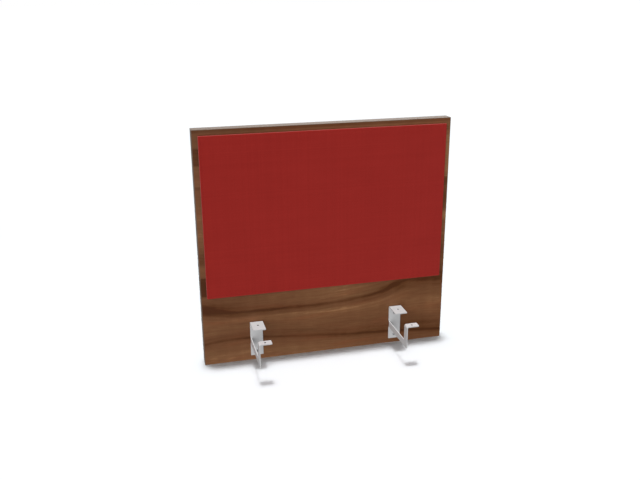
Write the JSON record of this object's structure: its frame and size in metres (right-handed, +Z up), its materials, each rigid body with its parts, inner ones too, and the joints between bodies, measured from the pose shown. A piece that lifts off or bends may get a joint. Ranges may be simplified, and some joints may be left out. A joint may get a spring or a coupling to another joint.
{
  "type": "desk privacy panel",
  "caption": "Upright wood-faced privacy panel with a fabric-covered pinboard, hung at a desk's edge by steel brackets that straddle the desk-frame rail and screw up under the desk top.",
  "frame": {"origin": "centre of the four desk fixing holes, level with the top faces of the brackets' flanges, which is the plane of the desk top's underside", "axes": "+Z up, out of the flanges towards the desk top; +X along the panel's width, to the right as seen from the desk; +Y from the desk towards the panel, through its thickness; the pinboard faces -Y"},
  "size_m": [0.8, 0.2059, 0.75],
  "materials": {
    "chipboard": "matte",
    "walnut_decor": "satin",
    "edge_band": "satin",
    "soft_fibreboard": "matte",
    "red_fabric": "matte",
    "staple_wire": "satin",
    "fastening_tape": "matte",
    "bracket_paint": "satin",
    "zinc_plated_steel": "satin",
    "insert_brass": "satin"
  },
  "bodies": {
    "root": {"core_board": "chipboard", "front_laminate": "walnut_decor", "rear_laminate": "walnut_decor", "top_edge_band": "edge_band", "bottom_edge_band": "edge_band", "left_edge_band": "edge_band", "right_edge_band": "edge_band", "pinboard_core": "soft_fibreboard", "pinboard_fabric": "red_fabric", "pinboard_staples": "staple_wire", "pinboard_hook_tapes": "fastening_tape", "pinboard_loop_tapes": "fastening_tape", "left_bracket": "bracket_paint", "right_bracket": "bracket_paint", "left_upper_screw": "zinc_plated_steel", "left_lower_screw": "zinc_plated_steel", "right_upper_screw": "zinc_plated_steel", "right_lower_screw": "zinc_plated_steel", "left_upper_insert": "insert_brass", "left_lower_insert": "insert_brass", "right_upper_insert": "insert_brass", "right_lower_insert": "insert_brass"}
  },
  "joints": []
}
